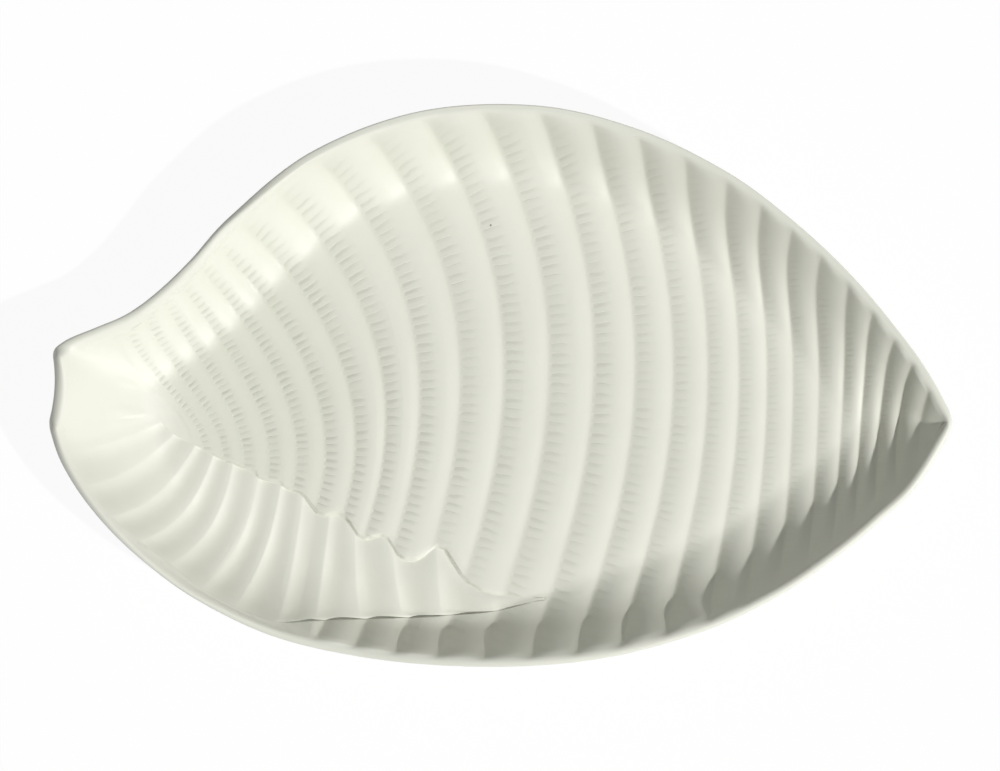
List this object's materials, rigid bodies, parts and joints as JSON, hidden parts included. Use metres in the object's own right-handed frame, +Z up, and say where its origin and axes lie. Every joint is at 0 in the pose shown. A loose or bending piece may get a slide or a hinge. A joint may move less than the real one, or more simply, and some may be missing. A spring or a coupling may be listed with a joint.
{
  "type": "shell platter",
  "caption": "Leaf-shaped ceramic serving platter in the form of a ribbed sea shell: curved ribs, a fluted fan at one side, a rounded rim and a low foot ring.",
  "frame": {"origin": "on the table, under the middle of the platter's outline", "axes": "+X along the platter towards its pointed tip, +Y away from the fan towards the plain side, +Z up out of the dish"},
  "size_m": [0.38, 0.2364, 0.042],
  "materials": {
    "dish_glaze": "glossy ivory glaze",
    "fan_glaze": "glossy ivory glaze",
    "dry_clay": "dry unglazed clay"
  },
  "bodies": {
    "root": {"shell_dish": "dish_glaze", "fan_fold": "fan_glaze", "foot_ring": "dry_clay"}
  },
  "joints": []
}
